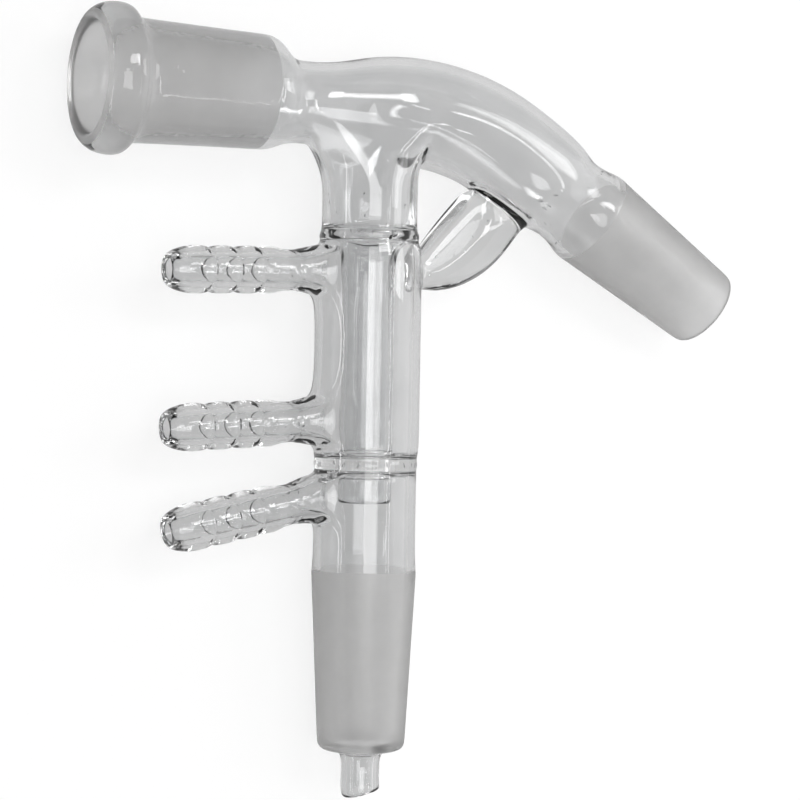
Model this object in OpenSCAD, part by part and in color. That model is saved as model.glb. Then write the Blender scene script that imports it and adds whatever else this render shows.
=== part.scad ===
// Short-path distillation head, blown in one piece from borosilicate glass.
// It is drawn in the head's own plane and then laid down as it rests on a bench:
// X runs along the socket's tube, Y up the column, Z away from the bench.

/* [Glass] */
// Wall of the tubes
wall = 1.8; // [1.4:0.1:2.4]
// Radius of the fire-polished lips
lip = 0.8; // [0.4:0.1:1]

/* [Ground joints] */
// Diameter at the wide end of each joint
joint_d = 24; // [19:0.5:29]
// Ground length of each joint
joint_l = 40; // [29:1:50]
// Length over which a joint narrows by one unit of diameter
joint_taper = 10; // [8:1:16]

/* [Socket] */
// Wall of the socket at its rim
socket_wall = 1.5; // [1.2:0.1:2.4]
// How far the rim's bead stands out from the socket
rim_w = 3; // [1.5:0.1:4]
// Length of the rim's bead
rim_l = 9.4; // [6:0.2:12]
// Length of the shoulder between the socket and its neck
socket_shoulder = 7; // [5:0.5:10]

/* [Neck and bend] */
// From the column's axis to the socket's shoulder
neck_l = 19.5; // [16:0.5:30]
// Outside diameter of the neck at the socket
neck_d = 18.6; // [15:0.2:20]
// How far the neck's axis lies below the socket's
neck_drop = 1.5; // [0:0.1:2]
// Outside diameter of the bent tube
bend_d = 25; // [22:0.2:28]
// Radius of the bend, on the tube's axis
bend_r = 55; // [40:1:70]
// How far the tube bends down
bend_angle = 31.5; // [25:0.5:40]
// From the column's axis to where the two straight axes would cross
bend_corner = 25; // [22:0.5:32]
// Straight tube between the bend and the flask joint
straight_l = 26; // [22:0.5:40]
// Outside diameter of the waist before the flask joint
waist_d = 21.6; // [19:0.2:24]

/* [Column] */
// From the socket's axis to the upper ring seal
upper_l = 30.2; // [26:0.2:40]
// Between the two ring seals
jacket_l = 53; // [45:0.5:90]
// From the lower ring seal to the lower joint
chamber_l = 25; // [22:0.5:40]
// Outside diameter of the tube above the jacket
upper_d = 22; // [20:0.2:24]
// Outside diameter of the water jacket
jacket_d = 24.4; // [23:0.2:28]
// Outside diameter of the chamber below the jacket
chamber_d = 23.4; // [22:0.2:26]
// Thickness of the ring seals
seal_t = 2.6; // [2:0.1:4]
// Radius of the fillets where the column meets the neck
tee_fillet = 8.5; // [3:0.5:9]

/* [Inner tube] */
// Outside diameter of the condenser tube
inner_d = 12; // [9:0.2:13]
// Wall of the condenser tube
inner_wall = 1.3; // [1:0.1:1.6]
// How far the condenser tube hangs below the lower ring seal
inner_drip = 9; // [6:0.5:14]
// Length of the funnel at the top of the condenser tube
funnel_l = 7; // [5:0.5:9]

/* [Drip tip] */
// Outside diameter of the drip tip
tip_d = 8.8; // [7:0.2:11]
// Length of the drip tip below the joint's shoulder
tip_l = 11; // [8:0.5:16]
// Slope of its cut end
tip_cut = 18; // [0:1:30]

/* [Hose barbs] */
// From the column's axis to the end of each barb
barb_l = 50; // [46:0.5:62]
// Outside diameter of the barbs between their ridges
barb_d = 9.3; // [8:0.1:10]
// Diameter of the hole through them
barb_bore = 5.4; // [4:0.1:6]
// Outside diameter at their ends
barb_end_d = 6.6; // [6.2:0.1:8]
// Ridges on each barb
barb_ridges = 4; // [2:1:4]
// Height of a ridge
ridge_h = 0.65; // [0.4:0.05:1]
// Distance between ridges
ridge_pitch = 6.1; // [5:0.1:6.4]
// From a barb's end to its first ridge
ridge_start = 6.7; // [6:0.1:8]
// Radius of the flare where a barb meets the column
barb_flare = 4.6; // [2:0.2:5]
// The upper barb's place below the upper ring seal
water_out_drop = 8.5; // [7:0.5:14]
// The middle barb's height above the lower ring seal
water_in_rise = 10.7; // [9:0.5:14]
// The vacuum barb's place below the lower ring seal
vacuum_drop = 5.2; // [5:0.1:10]
// How far each barb leans down, from the top one
barb_lean = [2.2, 3.5, 11.5]; // [0:0.1:15]

/* [Brace] */
// From the column's axis to the middle of the brace's outer curve
brace_out = 16; // [14:0.5:20]
// Its depth below the socket's axis
brace_down = 19.4; // [17:0.2:24]
// Radius of the brace's outer curve
brace_r = 23.4; // [21:0.2:26]
// How far its outer curve splays at the bent tube
brace_splay = 3; // [0:0.5:4]
// Width of the brace's foot on the jacket
brace_foot = 6.4; // [5:0.2:9]
// Thickness of the brace at its foot
brace_t = 5.6; // [4:0.2:8]
// Thickness of the brace at the bent tube
brace_top_t = 9; // [6:0.2:12]

/* [Hidden] */
$fn = 96;
arc_steps = 6;           // flats to a quarter of a drawn curve
elbow_sink = 0.4;        // how far a fillet's ends sink into the tubes
tee_depth = 2;           // where the column starts, below the axis of the tube above it
step = 0.05;             // between a straight tube and the bend that it runs into
glass_colour = [0.80, 0.84, 0.84, 0.45];

socket_l = joint_l + 2.4;  // the rim's rounding lies outside the ground length
shoulder_at = neck_l + socket_shoulder;
socket_reach = shoulder_at + socket_l;
joint_small_d = joint_d - joint_l / joint_taper;
socket_r = joint_d / 2 + socket_wall;
rim_r = socket_r + rim_w;
bend_start = bend_corner - bend_r * tan(bend_angle / 2);
side_l = straight_l + joint_l;
upper_seal = upper_l;
lower_seal = upper_l + jacket_l;
joint_at = lower_seal + chamber_l;
joint_end = joint_at + joint_l;
tip_top = joint_end + lip;
column_l = tip_top + tip_l;
water_out_at = upper_seal + water_out_drop;
water_in_at = lower_seal - water_in_rise;
vacuum_at = lower_seal + vacuum_drop;
inner_bore = inner_d - 2 * inner_wall;
jacket_bore = jacket_d - 2 * wall;
chamber_bore = chamber_d - 2 * wall;

// Places on the tube's straight stretch after the bend, in the head's plane
function along(s) = [
    bend_corner + s * cos(bend_angle),
    -neck_drop - s * sin(bend_angle)
];
bend_tangent = bend_r * tan(bend_angle / 2);
flask_end = along(bend_tangent + side_l);
flask_top = along(bend_tangent + straight_l);

// The head lies on its rim, its flask joint and its lower joint
rest_rim = [-socket_reach + rim_l - 2, 0, -rim_r];
rest_flask = [flask_top[0], flask_top[1], -joint_d / 2];
rest_lower = [0, -joint_at, -joint_d / 2];
bench = cross(rest_lower - rest_rim, rest_flask - rest_rim);
lean_x = atan2(bench[1], bench[2]);
lean_y = -atan2(bench[0], norm([bench[1], bench[2]]));
middle = [
    (flask_end[0] + joint_small_d / 2 * sin(bend_angle) - socket_reach) / 2,
    (rim_r - column_l) / 2,
    0
];
// It is raised until neither these nor a wider bend or jacket is below the bench
feet = [
    rest_rim,
    rest_flask,
    rest_lower,
    [bend_start, -neck_drop, -bend_d / 2],
    concat(along(bend_tangent + straight_l - 17), -bend_d / 2),
    [0, -upper_seal - seal_t * 2, -jacket_d / 2],
    [0, -lower_seal + seal_t * 1.5, -jacket_d / 2],
    [0, -joint_at, -chamber_d / 2]
];
lift = max([for (foot = feet) -(bench * (foot - middle)) / norm(bench)]);

// Points of an arc about c, from angle a to angle b
function arc(c, r, a, b) = [
    for (i = [0:arc_steps]) c + r * [cos(a + (b - a) * i / arc_steps), sin(a + (b - a) * i / arc_steps)]
];
// Points of an ease from one radius to another, between two heights
function ease(r0, z0, r1, z1) = [
    for (i = [0:arc_steps * 2])
        let (t = i / arc_steps / 2) [r0 + (r1 - r0) * (1 - cos(180 * t)) / 2, z0 + (z1 - z0) * t]
];

// A solid of revolution from an outline that runs from its start to its end
module turned(outline) {
    rotate_extrude()
        polygon(concat([[0, outline[0][1]]], outline, [[0, outline[len(outline) - 1][1]]]));
}
module leftward() rotate([0, -90, 0]) children();
module downward() rotate([90, 0, 0]) children();
module side_tube() {
    translate(concat(along(bend_tangent), 0))
        rotate([0, 0, -bend_angle])
            rotate([0, 90, 0])
                children();
}

// Socket: ground inside, with a beaded rim
module socket_solid() {
    rim_at = socket_reach - rim_l;
    leftward()
        turned(concat(
            ease(neck_d / 2 - 1, neck_l - 1, socket_r - 0.8, shoulder_at),
            [[socket_r, rim_at - 1.5]],
            arc([socket_r + 1.2, rim_at - 1.5], 1.2, 180, 120),
            arc([rim_r - 2, rim_at + 2], 2, -60, 0),
            arc([rim_r - 4, socket_reach - 4], 4, 0, 90)
        ));
}
module socket_bore() {
    leftward()
        turned(concat(
            ease(neck_d / 2 - wall, neck_l - 2, joint_small_d / 2, shoulder_at),
            [[joint_d / 2, socket_reach - 1]],
            [[joint_d / 2 + 1.2, socket_reach + 0.2]]
        ));
}

// Neck: widens from the socket to the bend
module neck_shape(inset) {
    translate([0, -neck_drop, 0])
        rotate([0, 90, 0])
            turned(concat(
                [[neck_d / 2 - inset, -neck_l - 1]],
                [[neck_d / 2 - inset, -neck_l / 2]],
                ease(neck_d / 2 - inset + 0.2, -neck_l / 2 + 1, bend_d / 2 - inset - step, bend_start),
                [[bend_d / 2 - inset - step, bend_start + 1]]
            ));
}
module bend_shape(inset) {
    translate([bend_start, -neck_drop - bend_r, 0])
        rotate([0, 0, 90 - bend_angle])
            rotate_extrude(angle = bend_angle)
                translate([bend_r, 0])
                    circle(r = bend_d / 2 - inset);
}

// Straight tube, waist and flask joint
module side_solid() {
    side_tube()
        turned(concat(
            [[bend_d / 2 - step, -1]],
            ease(bend_d / 2 - step, straight_l - 17, waist_d / 2, straight_l - 8.5),
            ease(waist_d / 2, straight_l - 7.5, joint_d / 2 - 0.2, straight_l - 1),
            [[joint_d / 2, straight_l]],
            arc([joint_small_d / 2 - lip, side_l - lip], lip, 0, 90)
        ));
}
module side_bore() {
    side_tube()
        turned(concat(
            [[bend_d / 2 - wall - step, -1]],
            ease(bend_d / 2 - wall - step, straight_l - 17, waist_d / 2 - wall, straight_l - 8.5),
            ease(waist_d / 2 - wall, straight_l - 7.5, joint_d / 2 - wall, straight_l + 1),
            [[joint_small_d / 2 - wall, side_l + 1]]
        ));
}

// Column: upper tube, ring seals, jacket, chamber, lower joint and drip tip
module column_solid() {
    tip_r = tip_d / 2;
    difference() {
        downward()
            turned(concat(
                [[upper_d / 2, neck_drop + tee_depth], [upper_d / 2, upper_seal - seal_t / 2]],
                arc([upper_d / 2 - 0.6, upper_seal], seal_t / 2, -60, 60),
                ease(upper_d / 2, upper_seal + seal_t / 2, jacket_d / 2, upper_seal + seal_t * 2),
                ease(jacket_d / 2, lower_seal - seal_t * 1.5, chamber_d / 2 + 0.2, lower_seal - seal_t / 2),
                ease(chamber_d / 2 + 0.2, lower_seal + seal_t / 2, chamber_d / 2, lower_seal + seal_t),
                ease(chamber_d / 2, joint_at - 3, joint_d / 2, joint_at),
                arc([joint_small_d / 2 - 2, joint_end - 2], 2, 0, 70),
                arc([tip_r + 1.5, tip_top + 1.5], 1.5, -90, -180),
                arc([tip_r - lip, column_l - lip], lip, 0, 80)
            ));
        tip_cutter();
    }
}
// The tip is cut on a slope, and stays longest on the socket's side
module tip_cutter() {
    translate([-tip_d / 2, -column_l, 0])
        rotate([0, 0, tip_cut])
            translate([-tip_d / 2, -tip_d, -tip_d])
                cube([tip_d * 3, tip_d, tip_d * 2]);
}

// Vapour way: upper tube, funnel and condenser tube
module vapour_bore() {
    funnel_at = upper_seal - seal_t;
    downward()
        turned(concat(
            [[upper_d / 2 - wall, neck_drop + tee_depth]],
            ease(upper_d / 2 - wall, funnel_at, inner_bore / 2, funnel_at + funnel_l),
            [[inner_bore / 2, lower_seal + inner_drip + 1]]
        ));
}
// Water space round the condenser tube
module jacket_space() {
    top = upper_seal + seal_t / 2;
    bottom = lower_seal - seal_t / 2;
    downward()
        rotate_extrude()
            polygon(concat(
                ease(upper_d / 2 - wall, top, inner_d / 2, top + funnel_l),
                arc([inner_d / 2 + 1.5, bottom - 1.5], 1.5, 180, 90),
                arc([jacket_bore / 2 - 2, bottom - 2], 2, 90, 0),
                ease(jacket_bore / 2, top + seal_t, upper_d / 2 - wall + 0.2, top)
            ));
}
// Chamber round the condenser tube's end, joint bore and drip tip bore
module chamber_space() {
    top = lower_seal + seal_t / 2;
    drip_end = lower_seal + inner_drip;
    shoulder = joint_end - wall;
    bore_r = tip_d / 2 - wall * 0.8;
    downward()
        rotate_extrude()
            polygon(concat(
                [[0, drip_end], [inner_bore / 2, drip_end]],
                arc([inner_d / 2 - inner_wall / 2, drip_end - inner_wall / 2], inner_wall / 2, 90, 0),
                arc([inner_d / 2 + 1, top + 1], 1, -180, -90),
                arc([chamber_bore / 2 - 2, top + 2], 2, -90, 0),
                [[chamber_bore / 2, joint_at - 2], [joint_d / 2 - wall, joint_at + 1]],
                arc([joint_small_d / 2 - wall - 2, shoulder - 2], 2, 0, 80),
                arc([bore_r + 1.5, shoulder + 1.5], 1.5, -90, -180),
                [[bore_r, column_l + 1], [0, column_l + 1]]
            ));
}
// A fillet between a run along X and a drop down Y: the inside of an elbow in the corner
module elbow(drop_r, run_r, radius, elbow_r) {
    translate([-drop_r - radius + elbow_sink, -run_r - radius + elbow_sink, 0])
        rotate_extrude(angle = 90)
            translate([radius + elbow_r, 0])
                circle(r = elbow_r);
}
module tee_blend() {
    translate([0, -neck_drop, 0]) {
        elbow(upper_d / 2, neck_d / 2, tee_fillet, neck_d / 2 - 2);
        mirror([1, 0, 0])
            elbow(upper_d / 2, bend_d / 2 - 0.6, tee_fillet / 2, neck_d / 2 - 2);
    }
}

// Hose barbs, on the socket's side of the column
barb_places = [water_out_at, water_in_at, vacuum_at];
module at_barb(i) {
    translate([0, -barb_places[i], 0])
        rotate([0, 0, barb_lean[i]])
            children();
}
function ridge(z) =
    let (half = ridge_pitch * 0.36, r = (half * half + ridge_h * ridge_h) / ridge_h / 2)
    let (spread = asin(half / r))
    arc([barb_d / 2 + ridge_h - r, z], r, -spread, spread);
module barb_solid() {
    root = jacket_d / 2;
    last_ridge = barb_l - ridge_start - ridge_pitch * (barb_ridges - 1);
    leftward() turned(concat(
        ease(barb_d / 2 + 1, root - 3, barb_d / 2, root + barb_flare),
        [for (i = [0:barb_ridges - 1]) each ridge(last_ridge + ridge_pitch * i)],
        ease(barb_d / 2, barb_l - 3.6, barb_end_d / 2 + 0.5, barb_l - 0.8),
        arc([barb_end_d / 2 - 0.3, barb_l - lip], lip, 0, 90)
    ));
}
module barb_blend() {
    for (side = [0, 1])
        mirror([0, side, 0])
            elbow(jacket_d / 2 - 0.2, barb_d / 2, barb_flare, barb_d / 2 - 0.6);
}
module barb_hole() {
    root = jacket_bore / 2 - 2;
    leftward()
        translate([0, 0, root]) {
            cylinder(h = barb_l, d = barb_bore);
            cylinder(h = wall + 5, d1 = barb_bore + 3, d2 = barb_bore);
        }
}

// Brace: a solid horn from the jacket to the underside of the bend, swept through ellipses
brace_rings = 16;
brace_sides = 24;
brace_start = -101;      // angles of its first and last sections about the outer curve's centre
brace_sweep = 93;
brace_inner = [
    [jacket_d / 2 - wall, -brace_down - brace_r + brace_foot],
    [brace_out + 1.5, -brace_down - 6],
    [bend_corner + 3.5, -bend_d / 2 - neck_drop - 1.5]
];
function brace_edge_out(t) =
    let (a = brace_start + brace_sweep * t)
    [brace_out, -brace_down] + (brace_r + brace_splay * pow(t, 4)) * [cos(a), sin(a)];
function brace_edge_in(t) =
    brace_inner[0] * (1 - t) * (1 - t) + brace_inner[1] * 2 * t * (1 - t) + brace_inner[2] * t * t;
function brace_section(t) =
    let (
        out = brace_edge_out(t),
        in = brace_edge_in(t),
        middle = (out + in) / 2,
        reach = (out - in) / 2,
        half_t = (brace_t + (brace_top_t - brace_t) * t) / 2
    )
    [
        for (j = [0:brace_sides - 1])
            let (a = 360 * j / brace_sides)
            [middle[0] + reach[0] * cos(a), middle[1] + reach[1] * cos(a), half_t * sin(a)]
    ];
module brace_solid() {
    last = brace_rings * brace_sides;
    points = [for (k = [0:brace_rings]) each brace_section(k / brace_rings)];
    walls = [
        for (k = [0:brace_rings - 1], j = [0:brace_sides - 1])
            let (
                a = k * brace_sides + j,
                b = k * brace_sides + (j + 1) % brace_sides
            )
            each [[a, b, a + brace_sides], [b, b + brace_sides, a + brace_sides]]
    ];
    ends = [
        [for (j = [brace_sides - 1:-1:0]) j],
        [for (j = [0:brace_sides - 1]) last + j]
    ];
    polyhedron(points, concat(walls, ends));
}

// The glass without its hollows
module blown_solid() {
    socket_solid();
    neck_shape(0);
    bend_shape(0);
    side_solid();
    column_solid();
    tee_blend();
    for (i = [0:len(barb_places) - 1])
        at_barb(i) {
            barb_solid();
            barb_blend();
        }
}
module tube_hollows() {
    socket_bore();
    neck_shape(wall);
    bend_shape(wall);
    side_bore();
    vapour_bore();
}
module column_hollows() {
    jacket_space();
    chamber_space();
    for (i = [0:len(barb_places) - 1])
        at_barb(i)
            barb_hole();
}
module head_upright() {
    difference() {
        blown_solid();
        tube_hollows();
        column_hollows();
    }
    difference() {
        brace_solid();
        bend_shape(wall / 2);
        side_bore();
    }
}

module distillation_head() {
    color(glass_colour)
        translate([0, 0, lift])
            rotate([lean_x, lean_y, 0])
                translate(-middle)
                    head_upright();
}

distillation_head();
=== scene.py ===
import random
from math import atan2, cos, hypot, pi, radians, sin, tan

import bmesh
import bpy
from mathutils import Matrix, Vector


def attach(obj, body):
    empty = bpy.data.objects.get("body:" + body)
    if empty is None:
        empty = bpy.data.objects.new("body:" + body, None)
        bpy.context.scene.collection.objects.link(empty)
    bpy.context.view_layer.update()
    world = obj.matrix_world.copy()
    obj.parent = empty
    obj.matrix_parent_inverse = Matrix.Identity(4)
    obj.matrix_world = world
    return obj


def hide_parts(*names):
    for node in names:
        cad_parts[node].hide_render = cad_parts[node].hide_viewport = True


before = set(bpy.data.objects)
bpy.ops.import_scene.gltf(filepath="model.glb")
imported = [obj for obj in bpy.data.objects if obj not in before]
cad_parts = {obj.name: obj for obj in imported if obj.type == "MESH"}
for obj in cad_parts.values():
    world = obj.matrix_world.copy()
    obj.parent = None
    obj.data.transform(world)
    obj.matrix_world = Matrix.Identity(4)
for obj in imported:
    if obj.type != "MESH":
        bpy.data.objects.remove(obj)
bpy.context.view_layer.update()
print("frame loaded")

# Everything is drawn in millimetres in the head's own plane:
# x along the socket, y up the column, z to the viewer
lie = {
    "turn": (1.32356, 1.86220, 0),  # degrees that the head leans as it rests on its rim and joints
    "middle": (15.41253, -71.75, 0),
    "lift": 12.33111,
}


def leaning():
    return Matrix.Rotation(radians(lie["turn"][1]), 4, "Y") @ Matrix.Rotation(radians(lie["turn"][0]), 4, "X")


def layDown():
    # takes a finished shape from the head's plane to its place on the bench
    place = Matrix.Translation((0, 0, lie["lift"])) @ leaning() @ Matrix.Translation(-Vector(lie["middle"]))
    return Matrix.Scale(0.001, 4) @ place


def onlySelect(*objs):
    if bpy.context.object and bpy.context.object.mode != "OBJECT":
        bpy.ops.object.mode_set(mode="OBJECT")
    bpy.ops.object.select_all(action="DESELECT")
    for obj in objs:
        obj.select_set(True)
        bpy.context.view_layer.objects.active = objs[0]


def editOnly(obj):
    onlySelect(obj)
    bpy.ops.object.mode_set(mode="EDIT")
    bpy.ops.mesh.select_mode(type="VERT")


def pickVerts(obj, test):
    bpy.ops.mesh.select_mode(type="VERT")
    bpy.ops.mesh.select_all(action="DESELECT")
    mesh = bmesh.from_edit_mesh(obj.data)
    for vert in mesh.verts:
        if test(vert.co):
            vert.select = True
    mesh.select_flush(True)
    bmesh.update_edit_mesh(obj.data)


def pickFaces(obj, test):
    bpy.ops.mesh.select_mode(type="FACE")
    bpy.ops.mesh.select_all(action="DESELECT")
    mesh = bmesh.from_edit_mesh(obj.data)
    for face in mesh.faces:
        face.select = test(face.calc_center_median())
    mesh.select_flush(False)
    bmesh.update_edit_mesh(obj.data)
    return sum(face.select for face in mesh.faces)


def pickRims(obj, test):
    # the open edges whose middles pass the test
    bpy.ops.mesh.select_mode(type="EDGE")
    bpy.ops.mesh.select_all(action="DESELECT")
    mesh = bmesh.from_edit_mesh(obj.data)
    for edge in mesh.edges:
        edge.select = len(edge.link_faces) < 2 and test((edge.verts[0].co + edge.verts[1].co) / 2)
    bmesh.update_edit_mesh(obj.data)
    return sum(edge.select for edge in mesh.edges)


def bridge(obj, test, **how):
    picked = pickRims(obj, test)
    print("  bridging", picked, "edges")
    bpy.ops.mesh.bridge_edge_loops(**how)


def cutOpening(obj, test):
    picked = pickFaces(obj, test)
    print("  opening of", picked, "faces")
    bpy.ops.mesh.delete(type="FACE")


def swellOf(sides):
    # smoothing shrinks a ring of so many sides, so its radius swells by this first
    return 6 / (4 + 2 * cos(2 * pi / sides))


def lathe(name, outline, sides, axis="X"):
    # turns an outline of (place on the axis, radius) about X, or about Y downwards
    swell = swellOf(sides)
    points = [
        Vector((along, radius * swell, 0)) if axis == "X" else Vector((radius * swell, -along, 0))
        for along, radius in outline
    ]
    onlySelect()
    bpy.ops.mesh.primitive_plane_add(size=1, location=(0, 0, 0))
    obj = bpy.context.object
    obj.name = obj.data.name = name
    obj.data.materials.append(clear)
    obj.data.materials.append(ground)
    editOnly(obj)
    bpy.ops.mesh.select_all(action="SELECT")
    bpy.ops.mesh.merge(type="CENTER")
    bpy.ops.transform.translate(value=points[0])
    for here, there in zip(points, points[1:]):
        bpy.ops.mesh.extrude_vertices_move(TRANSFORM_OT_translate={"value": there - here})
    bpy.ops.mesh.select_all(action="SELECT")
    about = (1, 0, 0) if axis == "X" else (0, 1, 0)
    bpy.ops.mesh.spin(steps=sides, angle=2 * pi, center=(0, 0, 0), axis=about, use_auto_merge=True)
    bpy.ops.mesh.select_all(action="SELECT")
    bpy.ops.mesh.remove_doubles(threshold=0.01)
    bpy.ops.mesh.select_all(action="DESELECT")
    bpy.ops.object.mode_set(mode="OBJECT")
    return obj


def joinInto(obj, *others):
    onlySelect(obj, *others)
    bpy.ops.object.join()
    return obj


def settle(obj, turn=0, shift=(0, 0, 0)):
    # turns a piece in the head's plane about the origin, then moves it, and writes that into its mesh
    obj.rotation_euler = (0, 0, radians(turn))
    obj.location = shift
    onlySelect(obj)
    bpy.ops.object.transform_apply(location=True, rotation=True, scale=True)


def nodesOf(name):
    material = bpy.data.materials.new(name)
    material.use_nodes = True
    tree = material.node_tree
    return material, tree, tree.nodes["Principled BSDF"]


def addNode(tree, kind, inputs=None, **settings):
    # a shader node with its values, where a value that is a socket is linked
    node = tree.nodes.new("ShaderNode" + kind)
    for name, value in settings.items():
        setattr(node, name, value)
    for name, value in (inputs or {}).items():
        if isinstance(value, bpy.types.NodeSocket):
            tree.links.new(value, node.inputs[name])
        else:
            node.inputs[name].default_value = value
    return node


def headPlace(tree):
    # Object coordinates taken back to millimetres in the head's own plane
    return addNode(tree, "Mapping", {
        "Vector": addNode(tree, "TexCoord").outputs["Object"],
        "Location": layDown().to_translation(),
        "Rotation": leaning().to_3x3().to_euler(),
        "Scale": (0.001, 0.001, 0.001),
    }, vector_type="TEXTURE").outputs["Vector"]


def grey(level, warm=0.0):
    return (level * (1 + warm), level, level * (1 - warm), 1)


def larger(tree, one, other):
    return addNode(tree, "Math", {0: one, 1: other}, operation="MAXIMUM").outputs[0]


def graded(tree, value, start, end):
    # goes from the first to the second of end as value goes from the first to the second of start
    return addNode(tree, "MapRange", {
        "Value": value, "From Min": start[0], "From Max": start[1], "To Min": end[0], "To Max": end[1],
    }).outputs["Result"]


def unevenness(tree, place, length, detail):
    return addNode(tree, "TexNoise", {"Vector": place, "Scale": 1 / length, "Detail": detail}).outputs["Fac"]


def bumpOf(tree, height, depth, **under):
    # depth in millimetres
    inputs = {"Height": height, "Distance": depth / 1000, "Strength": 1, **under}
    return addNode(tree, "Bump", inputs).outputs["Normal"]


def varied(tree, place, scale, dark, light, detail=2):
    # a colour that drifts between two greys
    noise = addNode(tree, "TexNoise", {"Vector": place, "Scale": scale, "Detail": detail}).outputs["Fac"]
    ramp = addNode(tree, "ValToRGB", {"Fac": noise})
    ramp.color_ramp.elements[0].position = 0.35
    ramp.color_ramp.elements[0].color = dark
    ramp.color_ramp.elements[1].position = 0.65
    ramp.color_ramp.elements[1].color = light
    return ramp.outputs["Color"]


# Finishes; lengths in millimetres
glass = {
    "rounding": 2,
    "refraction": 1.474,
    "clear": (grey(0.91, -0.004), grey(0.95, -0.002)),
    "clearDrift": 0.08,  # how many times in a millimetre the tint changes
    "ground": (grey(0.8, 0.006), grey(0.86, 0.006)),
    "groundDrift": 0.15,
    "groundClearness": 0.95,
    "groundRoughness": (0.48, 0.6),
    "waves": (9.0, 0.02),  # length and height of the drawn tube's waviness
    "ripples": (1.1, 0.03),  # the same for the ripples that the socket's moulding leaves
    "ripplesBegin": (-28, -30),
    "grain": (0.35, 0.012),  # and for the grinding
}

print("mixing the glass")
clear, tree, surface = nodesOf("clearGlass")
place = headPlace(tree)
waves = unevenness(tree, place, glass["waves"][0], 1)
ripples = unevenness(tree, place, glass["ripples"][0], 0)
across = addNode(tree, "SeparateXYZ", {"Vector": place}).outputs["X"]
onSocket = graded(tree, across, glass["ripplesBegin"], (0, 1))
rippled = addNode(tree, "Math", {0: ripples, 1: onSocket}, operation="MULTIPLY").outputs[0]
waved = bumpOf(tree, waves, glass["waves"][1])
bump = bumpOf(tree, rippled, glass["ripples"][1], Normal=waved)
tree.links.new(varied(tree, place, glass["clearDrift"], *glass["clear"]), surface.inputs["Base Color"])
tree.links.new(bump, surface.inputs["Normal"])
surface.inputs["Transmission Weight"].default_value = 1
surface.inputs["Roughness"].default_value = 0
surface.inputs["IOR"].default_value = glass["refraction"]

ground, tree, surface = nodesOf("groundGlass")
place = headPlace(tree)
grain = unevenness(tree, place, glass["grain"][0], 3)
rough = graded(tree, grain, (0, 1), glass["groundRoughness"])
paint = varied(tree, place, glass["groundDrift"], *glass["ground"], detail=4)
tree.links.new(paint, surface.inputs["Base Color"])
tree.links.new(rough, surface.inputs["Roughness"])
tree.links.new(bumpOf(tree, grain, glass["grain"][1]), surface.inputs["Normal"])
surface.inputs["Transmission Weight"].default_value = glass["groundClearness"]
surface.inputs["IOR"].default_value = glass["refraction"]


def grind(obj, test):
    # gives the faces that pass the test the ground finish
    picked = pickFaces(obj, test)
    print("  grinding", picked, "faces")
    obj.active_material_index = 1
    bpy.ops.object.material_slot_assign()


# Vapour tube: socket, neck, bend and flask joint
tube = {
    "sides": 24,
    "neckDrop": 1.5,
    "bendCorner": 25.0,
    "bendRadius": 55.0,
    "bendAngle": 31.5,
    "bendSpun": 26.6,  # the bend's last degrees are left to the bridge
    "bendSteps": 4,
    "neckJogs": ((-26.0, 0.3), (-24.0, 0.7), (-22.0, 0.5)),
    "teeRows": (-13.5, 9.49),
    "teeHalfWidth": 60.0,  # degrees of the tube's underside, each way
    "flaskGround": 26.2,  # where the ground finish begins, past the bend
    "socketGround": -27,
    "lipGround": -68.5,
}
tubeOutside = (
    (9.49, 12.55), (3.8, 12.25), (-2.0, 11.5), (-7.8, 10.0), (-13.5, 9.3), (-17.5, 9.2), (-21.0, 9.35),
    (-23.3, 10.6), (-25.4, 12.2), (-27.4, 12.85), (-31.0, 12.82), (-44.0, 13.14), (-56.5, 13.48),
    (-58.8, 13.6), (-60.0, 14.6), (-60.9, 16.2), (-63.2, 16.58), (-66.4, 16.2), (-68.6, 14.6),
    (-68.92, 13.0),
)
tubeInside = (
    (9.49, 10.7), (3.8, 10.4), (-2.0, 9.6), (-7.8, 8.2), (-13.5, 7.5), (-17.5, 7.4), (-21.0, 7.6),
    (-23.4, 8.6), (-25.6, 9.75), (-27.6, 10.05), (-31.0, 10.21), (-44.0, 10.84), (-58.0, 11.52),
    (-66.5, 11.92), (-68.6, 12.2),
)
sideOutside = (
    (3.9, 12.5), (11.3, 12.25), (14.2, 11.5), (16.8, 10.85), (19.6, 10.75), (22.4, 11.25), (24.6, 11.9),
    (26.0, 12.03), (27.4, 11.93), (40.0, 11.3), (54.0, 10.6), (64.4, 10.08), (66.0, 9.95),
)
sideInside = (
    (3.9, 10.7), (11.3, 10.45), (14.2, 9.7), (16.8, 9.05), (19.6, 8.95), (22.4, 9.4), (25.0, 10.0),
    (28.0, 10.1), (40.0, 9.5), (54.0, 8.8), (64.4, 8.28), (65.6, 8.3),
)


def alongSide(reach):
    angle = radians(tube["bendAngle"])
    start = tube["bendRadius"] * tan(angle / 2)
    corner = Vector((tube["bendCorner"], -tube["neckDrop"], 0))
    return Vector((corner.x + (start + reach) * cos(angle), corner.y - (start + reach) * sin(angle), 0))


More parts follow.
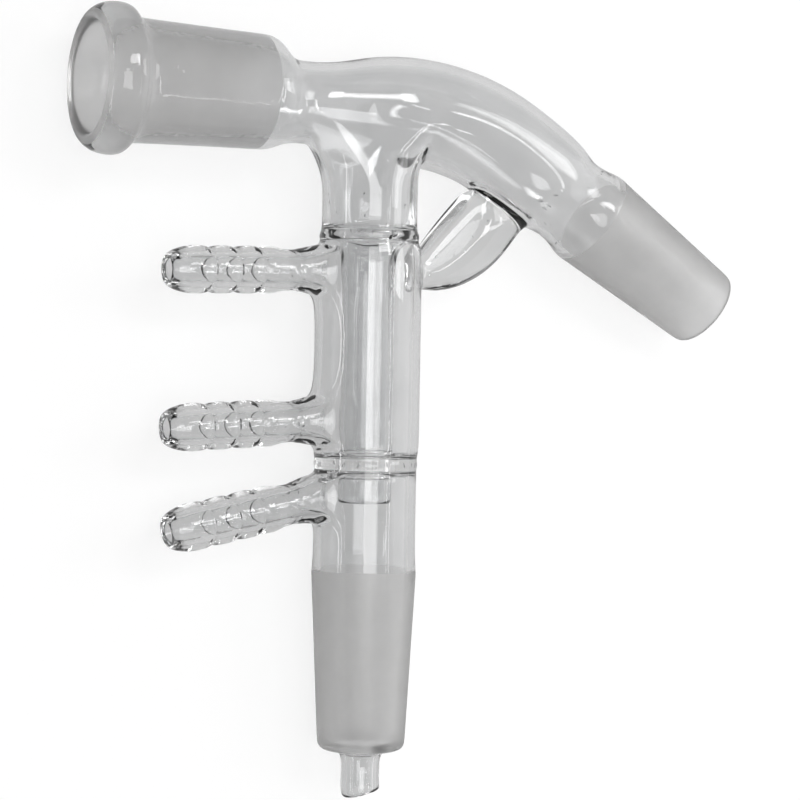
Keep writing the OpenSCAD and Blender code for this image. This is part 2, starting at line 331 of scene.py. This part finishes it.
def makeTube(name, outline, sideOutline):
    obj = lathe(name, outline, tube["sides"])
    editOnly(obj)
    for place, drop in tube["neckJogs"]:
        pickVerts(obj, lambda co: co.x > place)
        bpy.ops.transform.translate(value=(0, -drop, 0))
    bendStart = tube["bendCorner"] - tube["bendRadius"] * tan(radians(tube["bendAngle"] / 2))
    pickVerts(obj, lambda co: co.x > bendStart - 0.1)
    pivot = (bendStart, -tube["neckDrop"] - tube["bendRadius"], 0)
    bpy.ops.mesh.spin(steps=tube["bendSteps"], angle=radians(tube["bendSpun"]), center=pivot, axis=(0, 0, 1))
    side = lathe(name + "Side", sideOutline, tube["sides"])
    settle(side, -tube["bendAngle"], alongSide(0))
    joinInto(obj, side)
    editOnly(obj)
    bridge(obj, lambda co: 25 < co.x < 60)
    # the opening for the column, in the underside
    low, high = tube["teeRows"]
    slope = tan(radians(tube["teeHalfWidth"]))
    middle = -tube["neckDrop"]
    cutOpening(obj, lambda co: low < co.x < high and co.y < middle and abs(co.z) < (middle - co.y) * slope)
    return obj


# Column: ring seals, jacket, chamber, lower joint and drip tip, as (depth, radius)
column = {"sides": 24, "ground": (-148.3, -108), "tipCut": 18.0, "tipRadius": 4.4}
columnOutside = (
    (17.5, 11.0), (22.0, 10.95), (27.4, 10.95), (29.6, 11.0), (30.3, 11.45), (31.2, 11.5), (31.9, 11.3),
    (33.2, 11.7), (36.2, 12.2), (39.2, 12.2), (42.2, 12.2), (45.2, 12.2), (56.0, 12.2), (67.2, 12.2),
    (70.2, 12.2), (73.2, 12.2), (76.2, 12.2), (79.2, 12.15), (81.2, 11.9), (82.2, 11.7), (83.2, 12.0),
    (84.2, 11.7), (85.4, 11.75), (88.1, 11.7), (90.8, 11.7), (93.8, 11.7), (96.8, 11.7), (101.5, 11.7),
    (105.6, 11.8), (107.6, 12.0), (109.0, 12.0), (122.0, 11.31), (136.0, 10.61), (146.0, 10.11),
    (147.5, 10.0), (148.5, 9.2), (148.8, 7.4), (149.2, 5.2), (150.4, 4.5), (152.6, 4.4), (156.4, 4.4),
    (158.6, 4.4), (160.0, 4.3),
)
vapourInside = (
    (17.0, 9.2), (22.0, 9.2), (28.2, 9.15), (30.1, 8.5), (31.4, 7.1), (33.0, 5.5), (35.2, 4.75),
    (38.0, 4.7), (50.0, 4.7), (65.0, 4.7), (80.0, 4.7), (90.6, 4.7), (92.2, 4.75), (92.2, 5.95),
    (90.8, 6.0), (88.5, 6.0), (86.0, 6.05), (84.9, 6.5), (84.5, 8.0), (84.6, 9.4), (85.9, 9.9),
    (88.4, 9.9), (90.8, 9.9), (93.2, 9.9), (95.6, 9.9), (101.0, 9.9), (106.0, 9.95), (108.6, 10.1),
    (121.0, 9.5), (134.0, 8.85), (144.0, 8.35), (146.2, 7.9), (147.0, 6.2), (147.8, 4.2), (149.6, 3.15),
    (152.6, 2.96), (156.4, 2.96), (158.4, 2.96), (159.6, 3.05),
)
waterInside = (
    (32.0, 9.7), (32.6, 8.7), (34.2, 7.2), (36.4, 6.2), (39.0, 6.0), (50.0, 6.0), (65.0, 6.0),
    (77.0, 6.0), (80.4, 6.05), (81.6, 6.7), (81.9, 8.2), (81.6, 9.8), (80.2, 10.4), (78.2, 10.4),
    (75.7, 10.4), (73.2, 10.4), (70.7, 10.4), (68.2, 10.4), (56.0, 10.4), (44.0, 10.4), (41.6, 10.4),
    (39.2, 10.4), (36.8, 10.4), (34.4, 10.35), (32.8, 10.2),
)

# Hose barbs, as (distance from the column's axis, radius)
barb = {
    "sides": 16,
    "ridges": (25.0, 31.1, 37.2, 43.3),
    "ridgeRadius": 5.42,
    "flankRadius": 5.2,
    "grooveRadius": 4.8,
    "places": (38.7, 72.5, 88.4),
    "leans": (2.2, 3.5, 11.5),
    "length": 50.0,
    "outerOpening": 5.5,  # half height of the opening in the column for a barb's outside
    "innerOpening": 5.2,  # and for its bore
    "halfWidth": 30.0,  # degrees of the column, each way
    "wallRadius": 11.9,
}
barbOutside = (
    (15.0, 5.5), (17.0, 4.95), (18.3, 4.85), (18.9, 4.55), (20.8, 4.6), (22.4, 4.7),
    *[point for place in barb["ridges"][:-1] for point in (
        (place - 0.4, barb["ridgeRadius"]), (place + 2.3, barb["flankRadius"]),
        (place + 2.75, barb["grooveRadius"]), (place + 3.05, barb["grooveRadius"]),
        (place + 3.5, barb["flankRadius"]))],
    (43.0, barb["ridgeRadius"]), (45.2, 5.25), (47.0, 4.85), (48.6, 4.3), (49.6, 3.7), (50.0, 3.1),
)
barbInside = ((13.0, 3.7), (16.0, 2.85), (19.0, 2.7), (30.0, 2.7), (40.0, 2.7), (48.4, 2.7), (49.6, 2.75))


def barbAxis(which):
    lean = radians(barb["leans"][which])
    return Vector((0, -barb["places"][which], 0)), Vector((-cos(lean), -sin(lean), 0))


def atBarbRoot(which, co, reach=24):
    start, way = barbAxis(which)
    along = (co - start).dot(way)
    return 8 < along < reach and (co - start - way * along).length < 9.6


def makeBarb(name, outline, which):
    obj = lathe(name, [(-along, radius) for along, radius in outline], barb["sides"])
    settle(obj, barb["leans"][which], (0, -barb["places"][which], 0))
    return obj


def openForBarb(obj, which, halfHeight):
    # a patch of the column's wall, centred where the barb's axis meets it
    lean = radians(barb["leans"][which])
    middle = -barb["places"][which] - barb["wallRadius"] * tan(lean)
    wide = tan(radians(barb["halfWidth"]))
    cutOpening(obj, lambda co: (
        abs(co.y - middle) < halfHeight and co.x < 0 and abs(co.z) < -co.x * wide and hypot(co.x, co.z) > 9))


# Brace: a solid horn from the jacket to the underside of the bend
brace = {
    "out": 16.0,
    "down": 19.4,
    "radius": 23.4,
    "splay": 3.0,
    "foot": 6.4,
    "footThick": 5.6,
    "topThick": 9.0,
    "jacketRadius": 12.2,
    "bendRadius": 12.5,
    "startAngle": -101,
    "sweep": 93,
    "footSink": 1.8,
    "waistShift": (1.5, 6),
    "topShift": (3.5, 1.5),
    "footOpening": (-42.3, -36.1),  # up the column
    "footHalfWidth": 3.3,
    "topOpening": (-3.2, 10.5),  # along the flask joint's tube, from the end of the bend
    "topHalfWidth": 3.4,
    "steps": (0.11, 0.2, 0.32, 0.45, 0.58, 0.7, 0.83),
}


def braceSection(step):
    # middle, half width, slope and half thickness of the horn's section
    angle = radians(brace["startAngle"] + brace["sweep"] * step)
    reach = brace["radius"] + brace["splay"] * step**4
    outer = Vector((brace["out"], -brace["down"], 0)) + reach * Vector((cos(angle), sin(angle), 0))
    bends = (
        Vector((
            brace["jacketRadius"] - brace["footSink"],
            -brace["down"] - brace["radius"] + brace["foot"], 0)),
        Vector((brace["out"] + brace["waistShift"][0], -brace["down"] - brace["waistShift"][1], 0)),
        Vector((
            tube["bendCorner"] + brace["topShift"][0],
            -brace["bendRadius"] - tube["neckDrop"] - brace["topShift"][1], 0)),
    )
    inner = bends[0] * (1 - step) ** 2 + bends[1] * 2 * step * (1 - step) + bends[2] * step**2
    across = outer - inner
    thick = brace["footThick"] + (brace["topThick"] - brace["footThick"]) * step
    return (outer + inner) / 2, across.length / 2, atan2(across.y, across.x), thick / 2


def growBrace(obj):
    # opens the jacket at the foot, and grows a ring from it along the horn
    sides = 8
    low, high = brace["footOpening"]
    cutOpening(obj, lambda co: low < co.y < high and 11 < co.x < 13 and abs(co.z) < brace["footHalfWidth"])
    for step in brace["steps"]:
        middle, half, slope, thick = braceSection(step)
        onlySelect()
        bpy.ops.mesh.primitive_circle_add(
            vertices=sides, radius=swellOf(sides), location=(0, 0, 0), rotation=(pi / 2, 0, 0))
        ring = bpy.context.object
        ring.scale = (half, thick, 1)
        bpy.ops.object.transform_apply(location=True, rotation=True, scale=True)
        ring.rotation_euler = (0, 0, slope)
        ring.location = middle
        bpy.ops.object.transform_apply(location=True, rotation=True, scale=True)
        joinInto(obj, ring)
        editOnly(obj)
        bridge(obj, lambda co: 9 < co.x < 50 and -60 < co.y < -5)
    start, way = alongSide(0), (alongSide(1) - alongSide(0))
    under = Vector((way.y, -way.x, 0))
    near, far = brace["topOpening"]
    cutOpening(obj, lambda co: (
        near < (co - start).dot(way) < far and 9 < (co - start).dot(under) < 14
        and abs(co.z) < brace["topHalfWidth"]))
    bridge(obj, lambda co: 9 < co.x < 50 and -60 < co.y < -5)


def cutTip(obj):
    # the drip tip's end is ground on a slope, longest on the socket's side
    for top, share in ((-155.5, 0.35), (-158.0, 0.65)):
        pickVerts(obj, lambda co: co.y < top)
        angle = -radians(column["tipCut"]) * share
        pivot = (-column["tipRadius"], top - 1.5, 0)
        bpy.ops.transform.rotate(value=angle, orient_axis="Z", center_override=pivot)


print("making the outer skin")
skin = makeTube("glassSkin", tubeOutside, sideOutside)
columnSkin = lathe("columnSkin", columnOutside, column["sides"], "Y")
joinInto(skin, columnSkin)
editOnly(skin)
bridge(skin, lambda co: abs(co.x) < 15 and co.y > -18.5)
for which in range(3):
    openForBarb(skin, which, barb["outerOpening"])
    barbSkin = makeBarb("barbSkin", barbOutside, which)
    joinInto(skin, barbSkin)
    editOnly(skin)
    bridge(skin, lambda co: atBarbRoot(which, co))

growBrace(skin)
cutTip(skin)
sideStart, sideWay = alongSide(0), alongSide(1) - alongSide(0)
grind(skin, lambda co: co.x > 40 and (co - sideStart).dot(sideWay) > tube["flaskGround"])
low, high = column["ground"]
grind(skin, lambda co: low < co.y < high and hypot(co.x, co.z) < 14)

print("making the vapour way")
vapour = makeTube("vapourWay", tubeInside, sideInside)
columnBore = lathe("columnBore", vapourInside, column["sides"], "Y")
joinInto(vapour, columnBore)
editOnly(vapour)
bridge(vapour, lambda co: abs(co.x) < 15 and co.y > -18.5)
openForBarb(vapour, 2, barb["innerOpening"])
barbBore = makeBarb("barbBore", barbInside, 2)
joinInto(vapour, barbBore)
editOnly(vapour)
bridge(vapour, lambda co: atBarbRoot(2, co))

cutTip(vapour)
grind(vapour, lambda co: co.x < tube["socketGround"] and co.y > -20)

print("making the water space")
water = lathe("waterSpace", waterInside, column["sides"], "Y")
editOnly(water)
bridge(water, lambda co: co.y > -34)
for which in range(2):
    openForBarb(water, which, barb["innerOpening"])
    barbBore = makeBarb("barbBore", barbInside, which)
    joinInto(water, barbBore)
    editOnly(water)
    bridge(water, lambda co: atBarbRoot(which, co))

print("joining the lips")
joinInto(skin, vapour, water)
editOnly(skin)
bridge(skin, lambda co: co.x < -65 and co.y > -25)
bridge(skin, lambda co: co.x > 60)
bridge(skin, lambda co: co.y < -155)
for which in range(3):
    start, way = barbAxis(which)
    bridge(skin, lambda co: (co - start - way * barb["length"]).length < 8)
grind(skin, lambda co: co.x < tube["lipGround"] and co.y > -20)
bpy.ops.mesh.select_all(action="SELECT")
bpy.ops.mesh.normals_make_consistent(inside=False)
print("  open edges left:", pickRims(skin, lambda co: True))
bpy.ops.object.mode_set(mode="OBJECT")


# Seeds: the small bubbles that the flame leaves where pieces were fused,
# as (how many, half length, half width)
seeds = {
    "start": 7,
    "upperSeal": (30, 0.6, 0.17),
    "lowerSeal": (28, 0.5, 0.17),
    "upperTube": (14, 0.5, 0.16),
    "waist": (16, 0.7, 0.2),
    "barbRoot": (7, 0.45, 0.2),
    "brace": (5, 0.5, 0.25),
    "waistRadius": 9.9,
    "rootRadius": 3.75,
}


def addSeed(place, size, turn):
    length, width = size
    bpy.ops.mesh.primitive_ico_sphere_add(
        subdivisions=2, radius=1, location=place, rotation=turn, scale=(width, length, width))


def ringPlace(radius, depth):
    # somewhere around the column at this radius
    around = chance.uniform(0, 2 * pi)
    return Vector((radius * cos(around), -depth, radius * sin(around)))


def anyTurn():
    return [chance.uniform(-0.5, 0.5) for _ in range(3)]


def makeSeeds():
    onlySelect()
    bpy.ops.mesh.primitive_ico_sphere_add(subdivisions=2, radius=0.3, location=(10, -30, 0))
    obj = bpy.context.object
    obj.data.materials.append(clear)
    obj.data.materials.append(ground)
    editOnly(obj)
    rings = (("upperSeal", 10.1, 30.6, 0.3), ("lowerSeal", 10.2, 83.2, 0.35), ("upperTube", 10.05, 24.0, 3.0))
    for name, radius, depth, spread in rings:
        count, length, width = seeds[name]
        for _ in range(count):
            share = chance.uniform(0.5, 1.2)
            place = ringPlace(radius, depth + chance.uniform(-spread, spread))
            addSeed(place, (length * share, width * share), anyTurn())
    start, way = alongSide(0), alongSide(1) - alongSide(0)
    beside = Vector((-way.y, way.x, 0))
    count, length, width = seeds["waist"]
    for _ in range(count):
        around = chance.uniform(0, 2 * pi)
        share = chance.uniform(0.4, 1.2)
        outwards = beside * cos(around) + Vector((0, 0, 1)) * sin(around)
        place = start + way * chance.uniform(15.5, 23) + outwards * seeds["waistRadius"]
        addSeed(place, (length * share, width * share), (0, 0, chance.uniform(0, pi)))
    for which in range(3):
        start, way = barbAxis(which)
        count, length, width = seeds["barbRoot"]
        for _ in range(count):
            around = chance.uniform(0, 2 * pi)
            share = chance.uniform(0.5, 1.1)
            place = start + way * chance.uniform(17.2, 21)
            place += Vector((-way.y, way.x, 0)) * seeds["rootRadius"] * cos(around)
            place += Vector((0, 0, seeds["rootRadius"] * sin(around)))
            addSeed(place, (length * share, width * share), (0, 0, chance.uniform(0, pi)))
    count, length, width = seeds["brace"]
    for index in range(count):
        middle = braceSection((index + 0.8) / (count + 1))[0]
        place = middle + Vector((chance.uniform(-1.5, 1.5), chance.uniform(-1, 1), chance.uniform(-1, 1)))
        size = (length * chance.uniform(0.4, 1), width)
        addSeed(place, size, anyTurn())
    bpy.ops.mesh.select_all(action="SELECT")
    bpy.ops.mesh.normals_make_consistent(inside=True)
    bpy.ops.object.mode_set(mode="OBJECT")
    return obj


print("rounding the glass")
onlySelect(skin)
rounding = skin.modifiers.new("rounding", "SUBSURF")
rounding.levels = rounding.render_levels = glass["rounding"]
bpy.ops.object.modifier_apply(modifier="rounding")
chance = random.Random(seeds["start"])
joinInto(skin, makeSeeds())
bpy.ops.object.shade_smooth()
skin.data.transform(layDown())
print("  triangles", sum(len(face.vertices) - 2 for face in skin.data.polygons))

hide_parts("distillation_head")
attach(skin, "root")

print("bench, lamps and camera")
bpy.ops.mesh.primitive_plane_add(size=6, location=(0, 0, 0))
bench = bpy.context.object
bench.name = "bench"
studio = {
    "benchWhite": 0.95,
    "benchGlow": (0.8, 1),  # share of the bench's look that takes no shadow, near the head and away from it
    "throughGlass": (0.52, 0.62),  # its brightness in and through the glass, at the tip and at the socket
    "fade": (0.15, 0.5),  # metres from the head's middle, between near and away from it
    "tipToSocket": (-0.05, 0.06),  # metres along Y, between the tip and the socket
    "room": (0.24, 0.56),  # the room's brightness from the left to the right
    "roomBelow": 0.22,  # and how much brighter it is below, darker above
    "lampDistance": 1.2,  # metres
    "lamps": {  # degrees right of the camera and above it, degrees wide and high, brightness
        "windowLamp": (16, -6, 30, 26, 4.2),
        "barLamp": (36, 23, 22, 9, 8),
        "paneLamp": (47, 22, 6, 15, 9),
        "edgeLamp": (58, -8, 1.2, 28, 9),
        "bandLamp": (72, 13, 20, 20, 4),
        "lowBarLamp": (55.7, -27, 2.6, 2, 9),
        "sideLamp": (95, 0, 50, 60, 0.7),
        "leftLamp": (-56, 0, 3, 60, 8),
    },
}
benchPaint, tree, surface = nodesOf("benchPaint")
surface.inputs["Base Color"].default_value = grey(studio["benchWhite"])
surface.inputs["Roughness"].default_value = 1
surface.inputs["Specular IOR Level"].default_value = 0
rays = addNode(tree, "LightPath").outputs
seen = larger(tree, rays["Is Camera Ray"], larger(tree, rays["Is Glossy Ray"], rays["Is Transmission Ray"]))
spot = addNode(tree, "TexCoord").outputs["Object"]
away = addNode(tree, "VectorMath", {0: spot}, operation="LENGTH").outputs["Value"]
still = graded(tree, away, studio["fade"], studio["benchGlow"])
share = addNode(tree, "Math", {0: seen, 1: still}, operation="MULTIPLY").outputs[0]
up = addNode(tree, "SeparateXYZ", {"Vector": spot}).outputs["Y"]
level = larger(tree, rays["Is Camera Ray"], graded(tree, up, studio["tipToSocket"], studio["throughGlass"]))
glow = addNode(tree, "Emission", {"Color": grey(1), "Strength": level}).outputs["Emission"]
mixed = addNode(tree, "MixShader", {0: share, 1: surface.outputs["BSDF"], 2: glow}).outputs["Shader"]
tree.links.new(mixed, tree.nodes["Material Output"].inputs["Surface"])
bench.data.materials.append(benchPaint)

scene = bpy.context.scene
world = bpy.data.worlds.new("room")
scene.world = world
world.use_nodes = True
tree = world.node_tree
way = addNode(tree, "SeparateXYZ", {"Vector": addNode(tree, "TexCoord").outputs["Generated"]}).outputs
light = graded(tree, way["X"], (-1, 1), studio["room"])
below = {0: way["Y"], 1: -studio["roomBelow"], 2: light}
light = addNode(tree, "Math", below, operation="MULTIPLY_ADD").outputs[0]
rays = addNode(tree, "LightPath").outputs
background = tree.nodes["Background"].inputs
tree.links.new(larger(tree, light, rays["Is Camera Ray"]), background["Strength"])
background["Color"].default_value = grey(1)


def addLamp(name, right, up, wide, high, brightness):
    # a rectangle of light that faces the head
    swing = radians(view["swing"])
    front, beside = Vector((-sin(swing), 0, cos(swing))), Vector((cos(swing), 0, sin(swing)))
    above = Vector((0, 1, 0))
    level = front * cos(radians(right)) + beside * sin(radians(right))
    back = (level * cos(radians(up)) + above * sin(radians(up))).normalized()
    across = above.cross(back).normalized()
    facing = Matrix((across, back.cross(across), back)).transposed()
    bpy.ops.object.light_add(type="AREA")
    lamp = bpy.context.object
    lamp.name = name
    lamp.matrix_world = Matrix.LocRotScale(back * studio["lampDistance"], facing, None)
    lamp.data.shape = "RECTANGLE"
    lamp.data.size = 2 * studio["lampDistance"] * tan(radians(wide / 2))
    lamp.data.size_y = 2 * studio["lampDistance"] * tan(radians(high / 2))
    lamp.data.energy = brightness * pi * lamp.data.size * lamp.data.size_y
    return lamp


view = {"swing": 27.5, "distance": 480.0, "aim": (0, -68.5, 0), "roll": 1.0, "lens": 93.96, "shift": 0.0419}
bpy.ops.object.camera_add()
camera = bpy.context.object
scene.camera = camera
swing = radians(view["swing"])
back = Vector((-sin(swing), 0, cos(swing)))
facing = Matrix(((cos(swing), 0, -sin(swing)), (0, 1, 0), (sin(swing), 0, cos(swing))))
turn = facing @ Matrix.Rotation(radians(view["roll"]), 3, "Z")
place = layDown()
spot = place @ (Vector(view["aim"]) + back * view["distance"])
camera.matrix_world = Matrix.LocRotScale(spot, (place.to_3x3() * 1000) @ turn, None)
camera.data.lens = view["lens"]
camera.data.sensor_width = 36
camera.data.shift_x = view["shift"]
camera.data.clip_start = 0.01

for name, light in studio["lamps"].items():
    addLamp(name, *light)

scene.view_settings.view_transform = "Standard"
